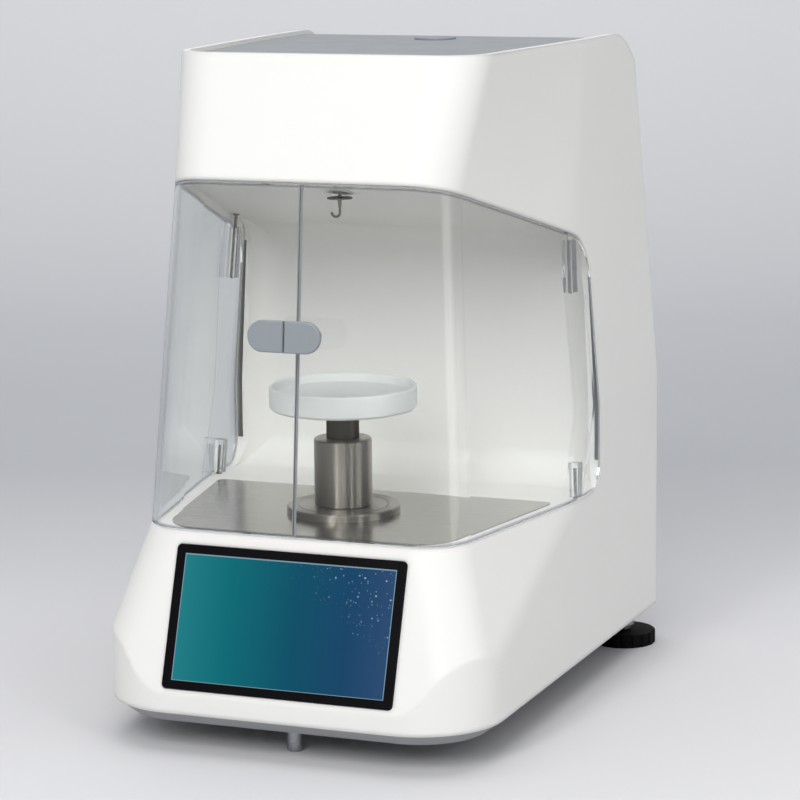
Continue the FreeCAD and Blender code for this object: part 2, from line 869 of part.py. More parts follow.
def drilled(body, centres, radius, deep):
    """Round holes through a plate, cut down from its upper face."""
    doc.recompute()
    before = body.Shape.Volume
    sketch = body.newObject("Sketcher::SketchObject", body.Label + "_holes")
    sketch.AttachmentSupport = (origin_plane(body, "XY_Plane"), [""])
    sketch.MapMode = "FlatFace"
    for number, (x, y) in enumerate(centres):
        circle = Part.Circle(Vector(float(x), float(y), 0), Vector(0, 0, 1), float(radius))
        sketch.addGeometry(circle, False)
        for kind, size in (("DistanceX", x), ("DistanceY", y)):
            size = size if isinstance(size, Size) else Size(size)
            index = sketch.addConstraint(Sketcher.Constraint(kind, -1, 1, number, 3, float(size)))
            sketch.setExpression("Constraints[%d]" % index, size.formula)
        index = sketch.addConstraint(Sketcher.Constraint("Radius", number, float(radius)))
        sketch.setExpression("Constraints[%d]" % index, radius.formula)
    pocket = body.newObject("PartDesign::Pocket", body.Label + "_drilling")
    pocket.Profile = sketch
    pocket.Midplane = True
    bind(pocket, Length=deep * 2)
    sketch.Visibility = False
    doc.recompute()
    assert body.Shape.Volume < before, body.Label + " was not drilled"


def box_at(width, deep, tall, x, y, z):
    """Plain block centred on x and y and standing on z."""
    return Part.makeBox(width, deep, tall, Vector(x - width / 2, y - deep / 2, z))


def rod_at(radius, tall, x, y, z):
    return Part.makeCylinder(radius, tall, Vector(x, y, z))


# ---------------------------------------------------------------- chamber liner and deck plate

LINER = cell("liner_thick")
LOW_BUSH = (axis_at_level(DECK - LINER - BREAK), axis_at_level(DECK + BREAK))
HIGH_BUSH = (axis_at_brow(cell("ceiling_rise") - BREAK), axis_at_brow(cell("ceiling_rise") + LINER + BREAK))


def chamber_void(grow):
    """Inside of the work chamber grown by grow: a rear bay with coved edges, open to the front."""
    floor = DECK - grow
    rise = cell("ceiling_rise") + grow
    cove = cell("liner_cove") + grow
    rear = LINER_REAR + grow
    half_low = cell("side_half") - cell("liner_cheek_inset") + grow
    half_high = half_low - cell("side_lean") * (BROW - cell("side_lean_level"))
    front = -FAR
    peak = brow_at(SILL_FRONT, cell("ceiling_rise") + LINER)
    outline = [Vector(-half_low, 0, floor), Vector(half_low, 0, floor),
               Vector(half_low, 0, cell("side_lean_level")), Vector(half_high, 0, peak),
               Vector(-half_high, 0, peak), Vector(-half_low, 0, cell("side_lean_level"))]
    column = Part.Face(Part.makePolygon(outline + outline[:1]))
    column.translate(Vector(0, front, 0))
    bay = column.extrude(Vector(0, rear - front, 0))
    slab = across(side_profile([(front, floor), (rear, floor), (rear, brow_at(rear, rise)),
                                (front, brow_at(front, rise))], [0.0] * 4), cell("depth"))
    bay = bay.common(slab)
    rear_edges = [edge for edge in bay.Edges
                  if all(abs(vertex.Point.y - rear) < 0.01 for vertex in edge.Vertexes)]
    bay = bay.makeFillet(cove, rear_edges)
    corner = cell("opening_low_radius")
    forward = opening_block(0.0, floor, rise, OPENING_REAR + cell("liner_cheek_gap"), corner, corner)
    return bay, forward


BEHIND_GLAZING = housing_form(cell("glazing") + cell("seam"), 0.0, ROOT)
GLAZING_ZONE = OUTER_FORM.cut(BEHIND_GLAZING).common(door_opening(0.0))


def chamber_liner():
    bay_in, forward_in = chamber_void(0.0)
    bay_out, forward_out = chamber_void(LINER)
    tub = bay_out.fuse(forward_out).common(housing_form(WALL + cell("seam"), 0.0, ROOT))
    tub = tub.cut(bay_in).cut(forward_in).cut(GLAZING_ZONE)
    shaft_hole = rod_at(cell("shaft_radius") + CLEAR, 4 * LINER, 0, COLUMN_Y, DECK - 2 * LINER)
    hook_hole = rod_at(cell("ceiling_hole"), 2 * (cell("ceiling_rise") + LINER), 0, COLUMN_Y,
                       brow_at(COLUMN_Y))
    bushes = [axis_rod(cell("hinge_bush") + FIT, start - LINER, end + LINER)
              for start, end in (LOW_BUSH, HIGH_BUSH)]
    return main_solid(tub.cut([shaft_hole, hook_hole] + bushes + [mirrored(bush) for bush in bushes]))


shaped("chamber_liner", chamber_liner())

PLATE = cell("plate_thick")
PLATE_TOP = DECK + PLATE
plate_front = SILL_FRONT + cell("plate_front_inset")
plate_rear = OPENING_REAR - cell("plate_rear_inset")
front_half = cell("side_half") - cell("plate_front_side")
rear_half = cell("side_half") - cell("plate_rear_side")
deck_plate = padded("floor_plate", [(-front_half, plate_front), (front_half, plate_front),
                                    (rear_half, plate_rear), (-rear_half, plate_rear)], PLATE)
rounded(deck_plate, cell("plate_front_corner"), "_front_corners",
        lambda foot: foot.y < plate_front + 1)
rounded(deck_plate, cell("plate_rear_corner"), "_rear_corners",
        lambda foot: foot.y > plate_rear - 1)
drilled(deck_plate, [(Size(0), COLUMN_Y)], cell("shaft_radius") + CLEAR, PLATE)
place(deck_plate, 0, 0, DECK)

# ---------------------------------------------------------------- lifting column

SHAFT = cell("shaft_radius")
FLANGE = cell("flange_radius")
groove = cell("flange_groove_radius")
groove_half = cell("flange_groove_width") / 2
flange_top = cell("flange_thick")
flange_bore = SHAFT + cell("window_clear")
turned("column_flange", [
    (flange_bore, 0.0), (FLANGE, 0.0), (FLANGE, flange_top - BREAK),
    (FLANGE - BREAK, flange_top), (groove + groove_half, flange_top), (groove, flange_top - BREAK),
    (groove - groove_half, flange_top), (flange_bore, flange_top)], 0, COLUMN_Y, PLATE_TOP)

SLEEVE_BASE = PLATE_TOP + flange_top
turned("guide_sleeve", disc_points(cell("sleeve_radius"), cell("sleeve_height"), SHAFT + FIT, BREAK),
       0, COLUMN_Y, SLEEVE_BASE)

CARRIAGE_TOP = cell("carriage_level") + cell("carriage_thick")
shaft_long = cell("dish_level") - CARRIAGE_TOP
shaft_bore_end = shaft_long - cell("shaft_top_solid")
turned("lift_shaft", [
    (cell("shaft_bore"), 0.0), (SHAFT, 0.0), (SHAFT, shaft_long - BREAK), (SHAFT - BREAK, shaft_long),
    (Size(0), shaft_long), (Size(0), shaft_bore_end), (cell("shaft_bore"), shaft_bore_end)],
    0, COLUMN_Y, CARRIAGE_TOP)

DISH = cell("dish_radius")
dish_inner = DISH - cell("dish_rim")
dish_top = cell("dish_height")
dish_floor = dish_top - cell("dish_recess")
turned("sample_dish", [
    (Size(0), 0.0), (DISH - 2 * BREAK, 0.0), (DISH, 2 * BREAK), (DISH, dish_top - BREAK),
    (DISH - BREAK, dish_top), (dish_inner + BREAK, dish_top), (dish_inner, dish_top - BREAK),
    (dish_inner, dish_floor), (Size(0), dish_floor)], 0, COLUMN_Y, cell("dish_level"))

# ---------------------------------------------------------------- lifting drive in the base

FLOOR = cell("pan_floor")
DRIVE_TOP = FLOOR + cell("drive_plate_thick")
drive_base = sheet_block("drive_base_plate", cell("drive_plate_across"), cell("drive_plate_deep"),
                         cell("drive_plate_thick"), cell("drive_plate_corner"), 0, COLUMN_Y, FLOOR)
top_plate_level = DECK - LINER - cell("seam") - cell("drive_plate_thick")
drive_top = sheet_block("drive_top_plate", cell("drive_plate_across"), cell("drive_plate_deep"),
                        cell("drive_plate_thick"), cell("drive_plate_corner"), 0, COLUMN_Y, top_plate_level)
drilled(drive_top, [(Size(0), Size(0))], SHAFT + CLEAR, cell("drive_plate_thick"))
sheet_block("lift_motor", cell("motor_side"), cell("motor_side"), cell("motor_height"),
            cell("motor_corner"), 0, COLUMN_Y, DRIVE_TOP)
MOTOR_TOP = DRIVE_TOP + cell("motor_height")
coupling_base = MOTOR_TOP + cell("coupling_gap")
motor_shaft = cell("motor_shaft_radius")
coupling = cell("coupling_radius")
shaft_end = FIT - cell("coupling_gap")
turned("motor_coupling", [
    (Size(0), shaft_end), (motor_shaft, shaft_end), (motor_shaft, Size(0)), (coupling, Size(0)),
    (coupling, cell("coupling_height")), (Size(0), cell("coupling_height"))], 0, COLUMN_Y, coupling_base)
screw_base = coupling_base + cell("coupling_height")
turned("lead_screw", disc_points(cell("screw_radius"), cell("screw_top") - screw_base, 0.0, 0.5),
       0, COLUMN_Y, screw_base)
turned("lift_nut", disc_points(cell("nut_radius"), cell("nut_height"), cell("screw_radius") + FIT, 0.6),
       0, COLUMN_Y, cell("carriage_level") - cell("nut_height"))
carriage = sheet_block("lift_carriage", cell("carriage_across"), cell("carriage_deep"),
                       cell("carriage_thick"), cell("motor_corner"), 0, COLUMN_Y, cell("carriage_level"))
drilled(carriage, [(Size(0), Size(0))], cell("shaft_bore"), cell("carriage_thick"))
carriage_guides = [(-cell("guide_offset"), Size(0)), (cell("guide_offset"), Size(0))]
GUIDE = cell("guide_radius")
drilled(carriage, carriage_guides, GUIDE + FIT, cell("carriage_thick"))
for side, name in ((1, "right"), (-1, "left")):
    turned("guide_post_" + name, disc_points(GUIDE, top_plate_level - DRIVE_TOP, 0.0),
           cell("guide_offset") * side, COLUMN_Y, DRIVE_TOP)

# ---------------------------------------------------------------- weighing head

SHELF = cell("shelf_level")
SHELF_TOP = SHELF + cell("shelf_thick")


def sensor_shelf():
    slab = box_between((-FAR, BROW_FRONT + cell("shelf_front_inset"), SHELF),
                       (FAR, REAR - cell("shelf_rear_inset"), SHELF_TOP))
    shelf = housing_form(WALL + cell("seam"), 0.0, ROOT).common(slab)
    return shelf.cut(rod_at(cell("ceiling_hole"), 3 * cell("shelf_thick"), 0, COLUMN_Y,
                            SHELF - cell("shelf_thick")))


shaped("sensor_shelf", sensor_shelf())
sensor_front = COLUMN_Y + cell("sensor_gap")
sheet_block("force_sensor", cell("sensor_across"), cell("sensor_deep"), cell("sensor_tall"),
            cell("motor_corner"), 0, sensor_front + cell("sensor_deep") / 2, SHELF_TOP)
BEAM_LEVEL = SHELF_TOP + cell("sensor_tall") / 2
HANG_PIN = BEAM_LEVEL - cell("yoke_pin_drop")


def cross_rod(radius, half_long):
    """Rod from front to rear on the axis that the hanger swings about."""
    return Part.makeCylinder(radius, 2 * half_long, Vector(0, COLUMN_Y - half_long, HANG_PIN),
                             Vector(0, 1, 0))


def sensor_beam():
    """Arm that leaves the sensor and ends in a forked yoke above the dish."""
    wide = cell("beam_across")
    reach = cell("sensor_gap") + wide / 2
    arm = box_at(wide, reach, cell("beam_thick"), 0, sensor_front - reach / 2, BEAM_LEVEL)
    yoke = box_at(wide / 2, wide, cell("yoke_drop"), 0, COLUMN_Y, BEAM_LEVEL - cell("yoke_drop"))
    slot = box_at(wide, cell("yoke_slot"), cell("yoke_drop"), 0, COLUMN_Y, BEAM_LEVEL - cell("yoke_drop"))
    return arm.fuse(yoke.cut(slot)).removeSplitter().cut(cross_rod(cell("yoke_pin") + FIT, wide))


shaped("sensor_beam", sensor_beam())
shaped("hanger_pin", cross_rod(cell("yoke_pin"), cell("beam_across") / 2))
HANGER = cell("hanger_level")


def hanger_rod():
    """Rod with a drilled eye that hangs on the yoke's pin."""
    eye_half = cell("yoke_slot") / 2 - cell("seam")
    rod = rod_at(cell("hanger_rod_radius"), HANG_PIN - HANGER, 0, COLUMN_Y, HANGER)
    eye = cross_rod(2 * cell("yoke_pin"), eye_half)
    return rod.fuse(eye).removeSplitter().cut(cross_rod(cell("yoke_pin") + FIT, eye_half))


shaped("hanger_rod", hanger_rod())
turned("hanger_disc", disc_points(cell("hanger_disc_radius"), cell("hanger_disc_thick"), 0.0, 0.2),
       0, COLUMN_Y, HANGER - cell("hanger_disc_thick"))


def weighing_hook():
    """A stem that narrows into a small open hook."""
    wire_radius = cell("hook_wire_radius")
    bend = cell("hook_bend_radius")
    top = HANGER - cell("hanger_disc_thick")
    turn_level = cell("hook_bottom") + bend + wire_radius
    stem_end = turn_level + 3.0
    stem = Part.makeCone(wire_radius, wire_radius * 1.8, top - stem_end, Vector(0, COLUMN_Y, stem_end))
    start = Vector(0, COLUMN_Y, stem_end)
    low = Vector(0, COLUMN_Y, turn_level)
    path = Part.Wire([
        Part.LineSegment(start, low).toShape(),
        Part.Arc(low, low + Vector(-bend, 0, -bend), low + Vector(-2 * bend, 0, 0)).toShape()])
    section = Part.Wire(Part.Circle(start, Vector(0, 0, 1), wire_radius).toShape())
    return stem.fuse(path.makePipeShell([section], True, False)).removeSplitter()


shaped("weighing_hook", weighing_hook())

# ---------------------------------------------------------------- touch screen in the sloping panel

BEZEL_BACK = cell("bezel_proud") - cell("bezel_thick")


def screen_bezel():
    """Flat frame round the touch screen."""
    plate = panel_block(BEZEL_ACROSS, BEZEL_TALL, BEZEL_BACK, cell("bezel_proud"), cell("bezel_corner"))
    return plate.cut(panel_block(cell("screen_across"), cell("screen_tall"), -4 * WALL, 4 * WALL))


shaped("screen_bezel", screen_bezel())
screen_front = cell("bezel_proud") - cell("screen_sink")
shaped("display_panel", panel_block(cell("screen_across") - 0.2, cell("screen_tall") - 0.2,
                                    screen_front - cell("display_thick"), screen_front))
bracket_top = screen_front - cell("display_thick")
lip = cell("display_bracket_lip")


def display_bracket():
    """Sheet-metal frame behind the front panel that carries the display module."""
    low = bracket_top - cell("display_bracket_thick")
    frame = panel_block(cell("screen_across") + lip / 2, cell("screen_tall") + lip, low, bracket_top,
                        cell("bezel_corner"))
    return frame.cut(panel_block(cell("screen_across") - 2 * lip, cell("screen_tall") - 2 * lip,
                                 low - lip, lip))


shaped("display_bracket", display_bracket())
board_top = bracket_top - cell("display_bracket_thick")
shaped("display_board", panel_block(cell("screen_across") - lip, cell("screen_tall") - lip,
                                    board_top - cell("display_board_thick"), board_top,
                                    cell("bezel_corner")))

# ---------------------------------------------------------------- hinges and handles of the doors

FACING = Vector(1, -cell("side_splay"), 0)
FACING = (FACING - AXIS * FACING.dot(AXIS)).normalize()
ALONG = AXIS.cross(FACING).normalize()
BEHIND_DOOR = housing_form(cell("glazing") + FIT, 0.0, ROOT)
PIN = cell("hinge_pin")


def hinge_block(start, end, bore_start, bore_end):
    """Clear block bonded to the inner face of the door and bored for its pin."""
    wide = cell("hinge_block_wide")
    reach = cell("hinge_block_reach")
    frame = FreeCAD.Matrix(FACING.x, ALONG.x, AXIS.x, PIVOT.x, FACING.y, ALONG.y, AXIS.y, PIVOT.y,
                           FACING.z, ALONG.z, AXIS.z, PIVOT.z, 0, 0, 0, 1)
    block = Part.makeBox(3 * reach, wide, end - start, Vector(-reach, -wide / 2, start))
    block.Placement = Placement(frame)
    return block.common(BEHIND_DOOR).cut(axis_rod(PIN + FIT, bore_start, bore_end))


def both_sides(shapes):
    return Part.makeCompound(shapes + [mirrored(shape) for shape in shapes])


low_top = LOW_END + cell("hinge_low_tall")
low_bore = low_top - cell("hinge_block_cap")
high_bottom = HIGH_END - cell("hinge_high_tall")
blocks = Part.makeCompound([hinge_block(LOW_END, low_top, LOW_END - 1, low_bore),
                            hinge_block(high_bottom, HIGH_END, high_bottom - 1, HIGH_END + 1)])
shaped("hinge_blocks_right", blocks)
shaped("hinge_blocks_left", mirrored(blocks))
shaped("hinge_pins", both_sides([axis_rod(PIN, LOW_BUSH[0], low_bore - cell("seam")),
                                 axis_rod(PIN, high_bottom - BREAK, HIGH_BUSH[1])]))
shaped("hinge_bushes", both_sides([
    axis_rod(cell("hinge_bush"), start, end).cut(axis_rod(PIN + FIT, start, end))
    for start, end in (LOW_BUSH, HIGH_BUSH)]))

DOOR_RISE = brow_at(BROW_FRONT) - cell("sill_level")
DOOR_SLOPE = (BROW_FRONT - SILL_FRONT) / DOOR_RISE


def door_face(shape):
    """Moves a shape from handle axes (x across, y up, z out) onto the front face of the doors."""
    tilt = math.degrees(math.atan(1 / DOOR_SLOPE))
    level = cell("handle_level")
    front = SILL_FRONT + DOOR_SLOPE * (level - cell("sill_level"))
    moved = shape.copy()
    moved.Placement = Placement(Vector(0, front, level), Rotation(Vector(1, 0, 0), tilt))
    return moved


def handle_plate():
    """Right-hand half of the pill-shaped grip."""
    radius = cell("handle_tall") / 2
    inner = cell("seam_half")
    shoulder = cell("handle_half") - radius
    low = cell("handle_standoff")
    corners = [Vector(inner, -radius, low), Vector(shoulder, -radius, low), Vector(shoulder, radius, low),
               Vector(inner, radius, low)]
    outline = Part.Wire([
        Part.LineSegment(corners[0], corners[1]).toShape(),
        Part.Arc(corners[1], Vector(cell("handle_half"), 0, low), corners[2]).toShape(),
        Part.LineSegment(corners[2], corners[3]).toShape(),
        Part.LineSegment(corners[3], corners[0]).toShape()])
    plate = Part.Face(outline).extrude(Vector(0, 0, cell("handle_thick")))
    front_edges = [edge for edge in plate.Edges
                   if all(abs(v.Point.z - low - cell("handle_thick")) < 0.01 for v in edge.Vertexes)]
    return door_face(plate.makeChamfer(BREAK, front_edges))


post = door_face(Part.makeCylinder(cell("handle_post_radius"), cell("handle_standoff"),
                                   Vector(cell("handle_post_x"), 0, 0)))
grip = handle_plate()
for name, turn_over in (("right", False), ("left", True)):
    shaped("handle_plate_" + name, mirrored(grip) if turn_over else grip)
    shaped("handle_post_" + name, mirrored(post) if turn_over else post)

# ---------------------------------------------------------------- base pan and feet

FOOT_X = cell("side_half") - cell("rear_foot_side")
FOOT_Y = REAR - cell("rear_foot_inset")


def pan_outline(inset, level):
    half_depth = cell("depth") / 2
    outline = plan_outline(-half_depth + inset, half_depth - inset, cell("side_half") - inset,
                           cell("side_splay"), cell("front_corner") - inset,
                           max(cell("rear_corner") - inset, 1.0))
    return raised(outline, level)


def base_pan():
    """Bevelled tray that closes the housing from below."""
    edge = cell("pan_edge")
    deep = edge + cell("pan_bevel")
    wall = cell("pan_wall")
    tray = Part.makeLoft([pan_outline(deep, cell("pan_bottom")), pan_outline(edge, SKIRT)], True, True)
    hollow = Part.makeLoft([pan_outline(deep, FLOOR), pan_outline(edge + wall, SKIRT + 1.0)], True, True)
    holes = [rod_at(cell("stud_radius") + cell("window_clear"), cell("stud_top"), side * FOOT_X, FOOT_Y, 0)
             for side in (1, -1)]
    return tray.cut([hollow] + holes)


shaped("base_pan", base_pan())
turned("front_foot", disc_points(cell("front_foot_radius"), cell("pan_bottom"), 0.0, 0.6),
       0, FRONT + cell("front_foot_inset"), 0)


def knurled_knob(x):
    """Adjuster disc with finger grooves round its rim."""
    radius = cell("rear_foot_radius")
    thick = cell("rear_foot_thick")
    knob = Part.makeCylinder(radius, thick)
    knob = knob.makeChamfer(BREAK, [edge for edge in knob.Edges if isinstance(edge.Curve, Part.Circle)])
    grooves = []
    count = int(cell("knob_grooves"))
    for turn in range(count):
        groove = Part.makeCylinder(cell("knob_groove_radius"), thick, Vector(radius + BREAK / 2, 0, 0))
        groove.rotate(Vector(0, 0, 0), Vector(0, 0, 1), 360 * turn / count)
        grooves.append(groove)
    knob = knob.cut(grooves)
    knob.translate(Vector(x, FOOT_Y, 0))
    return knob


nut_base = cell("pan_bottom") - cell("seam") - cell("foot_nut_thick")
STUD = cell("stud_radius")


def stud_ring(radius, tall, base):
    """A pair of rings, one round each adjuster stud."""
    rings = []
    for side in (1, -1):
        centre = Vector(side * FOOT_X, FOOT_Y, base)
        ring = Part.makeCylinder(radius, tall, centre)
        rings.append(ring.cut(Part.makeCylinder(STUD + FIT, tall, centre)))
    return Part.makeCompound(rings)


for side, name in ((1, "right"), (-1, "left")):
    shaped("foot_knob_" + name, knurled_knob(side * FOOT_X))
    turned("foot_stud_" + name, disc_points(STUD, cell("stud_top") - cell("rear_foot_thick"), 0.0, 0.5),
           FOOT_X * side, FOOT_Y, cell("rear_foot_thick"))
shaped("foot_lock_nuts", stud_ring(cell("foot_nut_radius"), cell("foot_nut_thick"), nut_base))
shaped("foot_bushes", stud_ring(cell("foot_nut_radius"), cell("stud_top") - FLOOR, FLOOR))

# ---------------------------------------------------------------- cap in the top panel

plug_level = cell("rim_level") - cell("skin_recess")
boss = cell("plug_boss_radius")
turned("top_plug", [
    (Size(0), -cell("plug_boss_depth")), (boss, -cell("plug_boss_depth")), (boss, Size(0)),
    (cell("plug_radius"), Size(0)), (cell("plug_radius"), cell("plug_thick") - 0.5),
    (cell("plug_radius") - 0.5, cell("plug_thick")), (Size(0), cell("plug_thick"))],
    0, PLUG_Y, plug_level)

# ---------------------------------------------------------------- electronics and rear sockets

sheet_block("power_supply", cell("supply_across"), cell("supply_deep"), cell("supply_tall"), 2.0,
            cell("supply_x"), REAR - cell("supply_inset"), FLOOR)
board_level = FLOOR + cell("standoff_height")
BOARD_Y = REAR - cell("board_inset")
sheet_block("control_board", cell("board_across"), cell("board_deep"), cell("board_thick"), 2.0,
            cell("board_x"), BOARD_Y, board_level)


def board_standoffs():
    posts = []
    for side in (1, -1):
        for end in (1, -1):
            x = cell("board_x") + side * (cell("board_across") / 2 - cell("standoff_inset"))
            y = BOARD_Y + end * (cell("board_deep") / 2 - cell("standoff_inset"))
            posts.append(rod_at(cell("standoff_radius"), cell("standoff_height"), x, y, FLOOR))
    return Part.makeCompound(posts)


shaped("board_standoffs", board_standoffs())

COVER_FACE = REAR - cell("skin_recess")


def socket_shell(kind):
    """Panel-mount socket: a body through the rear cover with a lip outside and a cavity."""
    centre, wide, tall, deep = (cell(kind + end) for end in ("_x", "_across", "_tall", "_deep"))
    cavity_inset = cell(kind + "_wall")
    cavity_deep = cell(kind + "_cavity")
    lip = cell("panel_lip")
    level = cell("inlet_level")
    body = box_at(wide, deep, tall, centre, COVER_FACE - deep / 2, level - tall / 2)
    flange = box_at(wide + 2 * lip, cell("panel_lip_thick"), tall + 2 * lip, centre,
                    COVER_FACE + cell("panel_lip_thick") / 2, level - tall / 2 - lip)
    shell = body.fuse(flange).removeSplitter()
    face = COVER_FACE + cell("panel_lip_thick")
    cavity = box_at(wide - 2 * cavity_inset, cavity_deep, tall - 2 * cavity_inset, centre,
                    face - cavity_deep / 2, level - tall / 2 + cavity_inset)
    return shell.cut(cavity)


def power_inlet():
    """Mains inlet with its three contact blades, the middle one set higher."""
    shell = socket_shell("inlet")
    back = COVER_FACE + cell("panel_lip_thick") - cell("inlet_cavity")
    pitch = cell("blade_pitch")
    rise = cell("blade_offset")
    for x, z in ((-pitch, -rise), (0, rise), (pitch, -rise)):
        shell = shell.fuse(box_at(cell("blade_wide"), cell("blade_long"), cell("blade_tall"),
                                  cell("inlet_x") + x, back + cell("blade_long") / 2,
                                  cell("inlet_level") + z - cell("blade_tall") / 2))
    return shell.removeSplitter()


shaped("power_inlet", power_inlet())
shaped("data_port", socket_shell("port"))
shaped("switch_frame", socket_shell("switch"))


def switch_rocker():
    """Rocker with a shallow V face, lying tipped to its off side on a cross pivot."""
    clear = cell("rocker_clear")
    wide = cell("switch_across") - 2 * cell("switch_wall") - clear
    half = cell("switch_tall") / 2 - cell("switch_wall") - clear
    rise = cell("rocker_rise")
    points = [(-half, 0.0), (-half, rise), (0.0, cell("rocker_dip")), (half, rise), (half, 0.0),
              (0.0, -cell("rocker_root"))]
    outline = Part.makePolygon([Vector(0, y, z) for z, y in points + points[:1]])
    rocker = Part.Face(outline).extrude(Vector(wide, 0, 0))
    rocker.translate(Vector(-wide / 2, 0, 0))
    half_axle = wide / 2 + clear / 4
    pivot = Vector(0, -cell("rocker_pivot"), 0)
    axle = Part.makeCylinder(cell("rocker_axle"), 2 * half_axle, pivot - Vector(half_axle, 0, 0),
                             Vector(1, 0, 0))
    rocker = rocker.fuse(axle).removeSplitter()
    rocker.rotate(pivot, Vector(1, 0, 0), cell("rocker_tilt"))
    rocker.translate(Vector(cell("switch_x"), COVER_FACE, cell("inlet_level")))
    return rocker


shaped("switch_rocker", switch_rocker())


def cover_screws():
    """Button-head screws that hold the rear cover."""
    head = cell("screw_head_radius")
    thick = cell("screw_head_thick")
    screws = []
    for centre in cover_screw_places():
        cap = Part.makeCylinder(head, thick, centre, Vector(0, 1, 0))
        rims = [edge for edge in cap.Edges if all(v.Point.y > centre.y + thick / 2 for v in edge.Vertexes)]
        cap = cap.makeChamfer(thick / 2, rims)
        shank = Part.makeCylinder(cell("screw_shank_radius"), cell("screw_shank_long"), centre,
                                  Vector(0, -1, 0))
        screws.append(cap.fuse(shank).removeSplitter())
    return Part.makeCompound(screws)


shaped("cover_screws", cover_screws())

doc.recompute()
os.makedirs("parts", exist_ok=True)
for item in doc.Objects:
    assert not {"Invalid", "Error"} & set(item.State), "%s: %s" % (item.Label, item.State)
for piece in NODES:
    assert not piece.Shape.isNull() and piece.Shape.isValid(), piece.Label + " is not a valid shape"
for piece in NODES:
    piece.Shape.exportStep(os.path.join("parts", piece.Label + ".step"))
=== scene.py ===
import json
import math

import bpy
from mathutils import Matrix, Vector

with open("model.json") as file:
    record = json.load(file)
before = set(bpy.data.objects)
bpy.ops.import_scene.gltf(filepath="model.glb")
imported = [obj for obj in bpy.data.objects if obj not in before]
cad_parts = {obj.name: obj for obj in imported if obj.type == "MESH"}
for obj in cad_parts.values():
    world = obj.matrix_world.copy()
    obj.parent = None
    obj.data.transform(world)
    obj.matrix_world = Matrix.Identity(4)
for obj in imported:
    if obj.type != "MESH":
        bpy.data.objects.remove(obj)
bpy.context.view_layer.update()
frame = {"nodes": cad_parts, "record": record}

nodes = frame["nodes"]

# Places on the part that its materials refer to, in metres. X is across, Y back and Z up.
COLUMN_Y = -0.0769          # axis of the lifting column
SILL = 0.146                # level at which the draught doors stand on the front panel
BROW = 0.342                # level of the head's lower edge where Y is zero
BROW_SLOPE = 0.29           # fall of that edge towards the rear
SHEET_EDGE = 0.0028         # width of a door's strip of painted shade along the sill and the brow, gap included
SAWN_SEAM = 0.0010          # sawn faces at the seam between the doors lie nearer X = 0 than this
SAWN_REAR = 0.0554          # sawn faces at the doors' rear edges lie farther back than this
SCREEN_LEVEL = 0.0912       # middle of the touch screen
SCREEN_HALF_X = 0.0771
SCREEN_HALF_Z = 0.0410


# ---------------------------------------------------------------- node-tree helper

def rgb(red, green, blue):
    return (red, green, blue, 1.0)


def darkened(colour, share):
    return rgb(*(part * share for part in colour))


